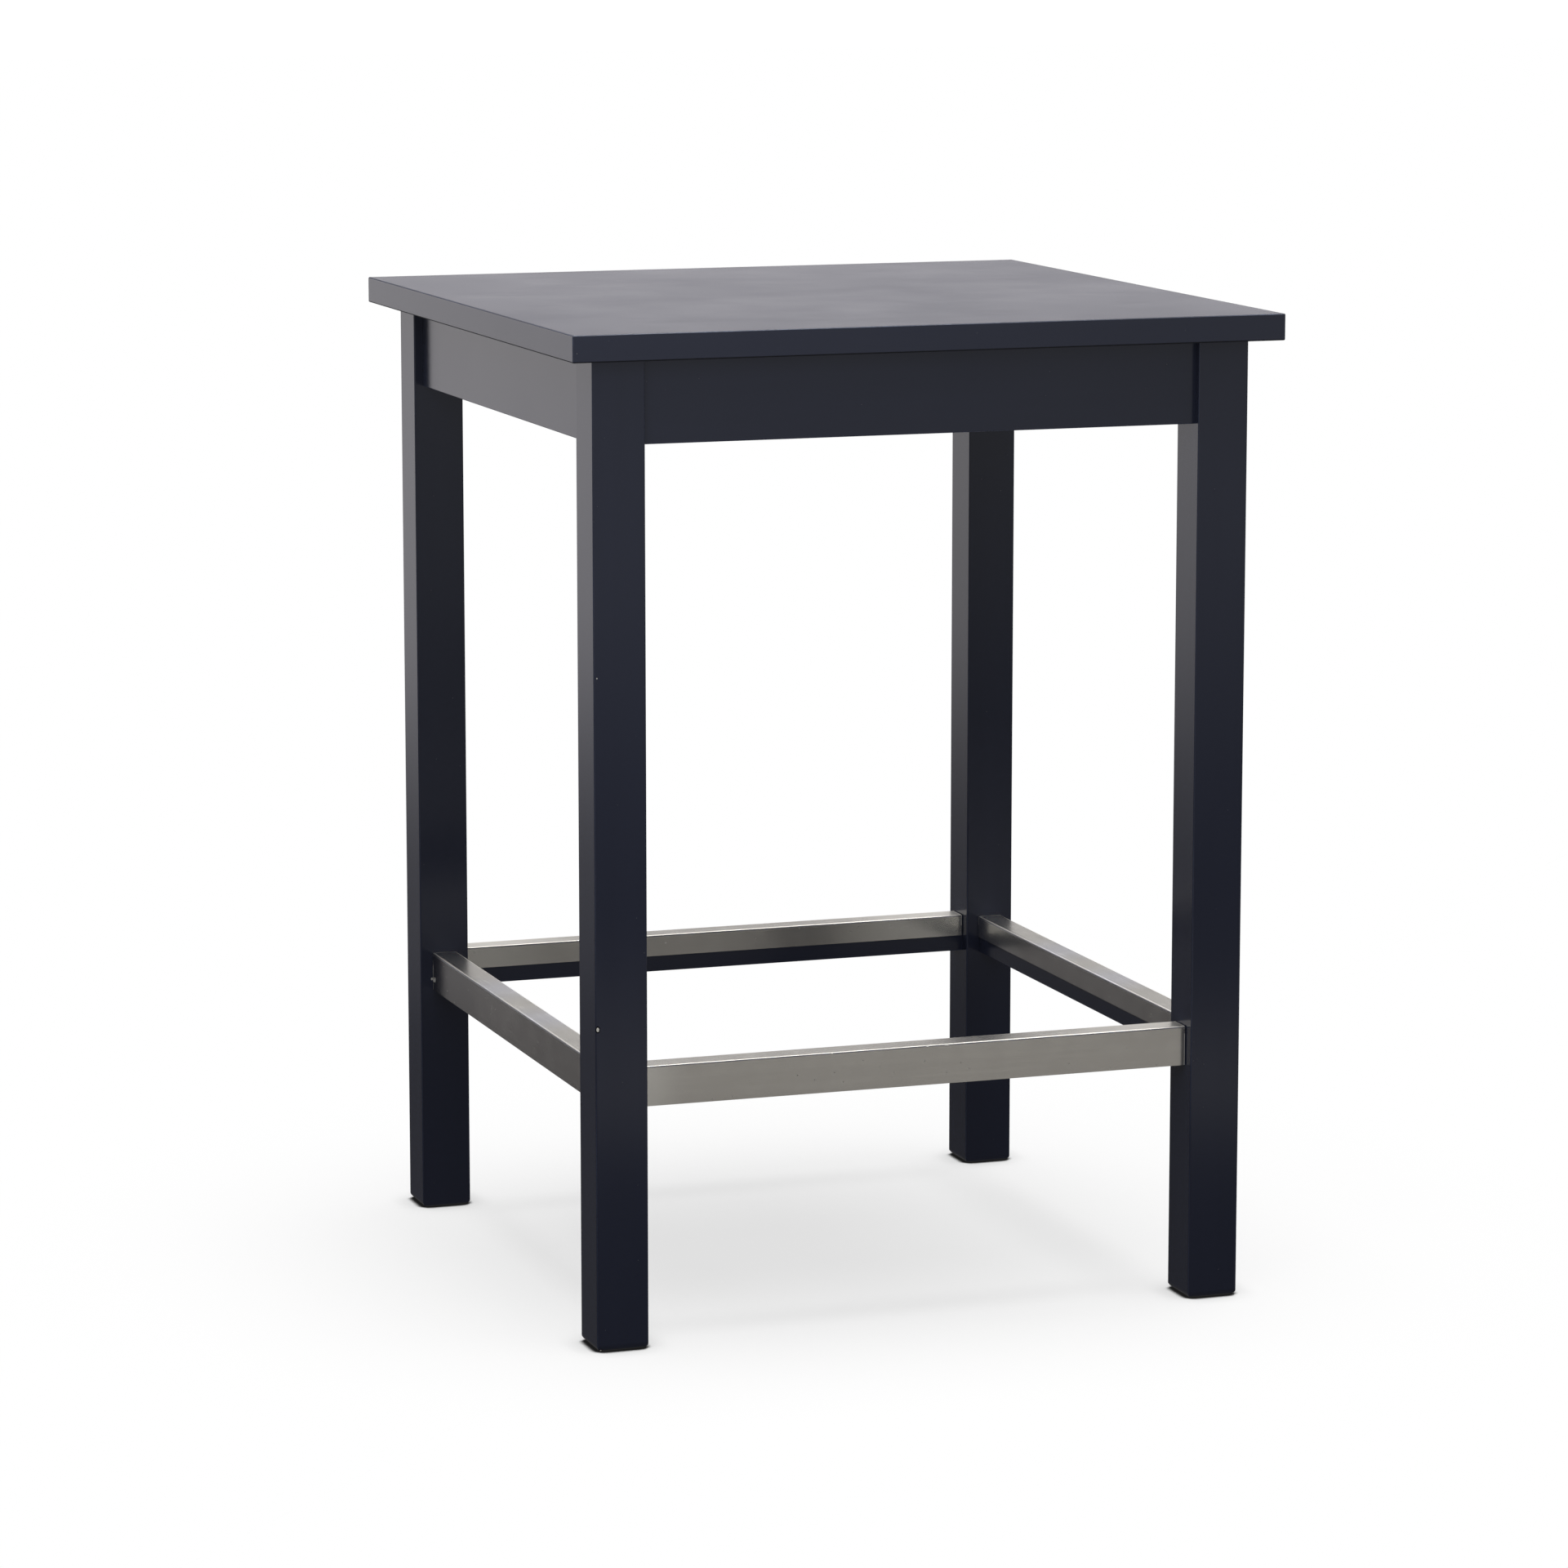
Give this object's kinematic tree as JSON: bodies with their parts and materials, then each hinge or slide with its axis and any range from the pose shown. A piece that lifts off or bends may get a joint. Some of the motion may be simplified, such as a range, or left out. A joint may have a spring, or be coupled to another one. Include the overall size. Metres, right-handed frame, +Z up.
{
  "type": "pub table",
  "caption": "Bar-height square table: thick painted top, straight square legs, aprons, and foot rails dressed in folded brushed stainless steel.",
  "frame": {"origin": "middle of the footprint, on the floor", "axes": "+Z up; front faces -Y, +X to the right seen from the front; X and Y along the edges of the top"},
  "size_m": [0.75, 0.75, 1.02],
  "materials": {
    "top_paint": "satin navy black paint over wood",
    "leg_paint": "satin navy black paint over wood",
    "apron_paint": "satin navy black paint over wood",
    "rail_paint": "satin navy black paint over wood",
    "brushed_stainless": "brushed along the rail",
    "plated_steel": "zinc plated",
    "bare_wood": "bare hardwood"
  },
  "bodies": {
    "root": {"tabletop": "top_paint", "leg_front_left": "leg_paint", "leg_front_right": "leg_paint", "leg_back_right": "leg_paint", "leg_back_left": "leg_paint", "apron_front": "apron_paint", "apron_right": "apron_paint", "apron_back": "apron_paint", "apron_left": "apron_paint", "foot_rail_core_front": "rail_paint", "foot_rail_cover_front": "brushed_stainless", "foot_rail_core_right": "rail_paint", "foot_rail_cover_right": "brushed_stainless", "foot_rail_core_back": "rail_paint", "foot_rail_cover_back": "brushed_stainless", "foot_rail_core_left": "rail_paint", "foot_rail_cover_left": "brushed_stainless", "corner_bracket_front_left": "plated_steel", "corner_bracket_front_right": "plated_steel", "corner_bracket_back_right": "plated_steel", "corner_bracket_back_left": "plated_steel", "hanger_bolts": "plated_steel", "hanger_bolt_washers": "plated_steel", "hanger_bolt_nuts": "plated_steel", "corner_bracket_screws": "plated_steel", "top_angle_plates": "plated_steel", "apron_plate_screws": "plated_steel", "tabletop_screws": "plated_steel", "apron_dowels": "bare_wood"}
  },
  "joints": []
}
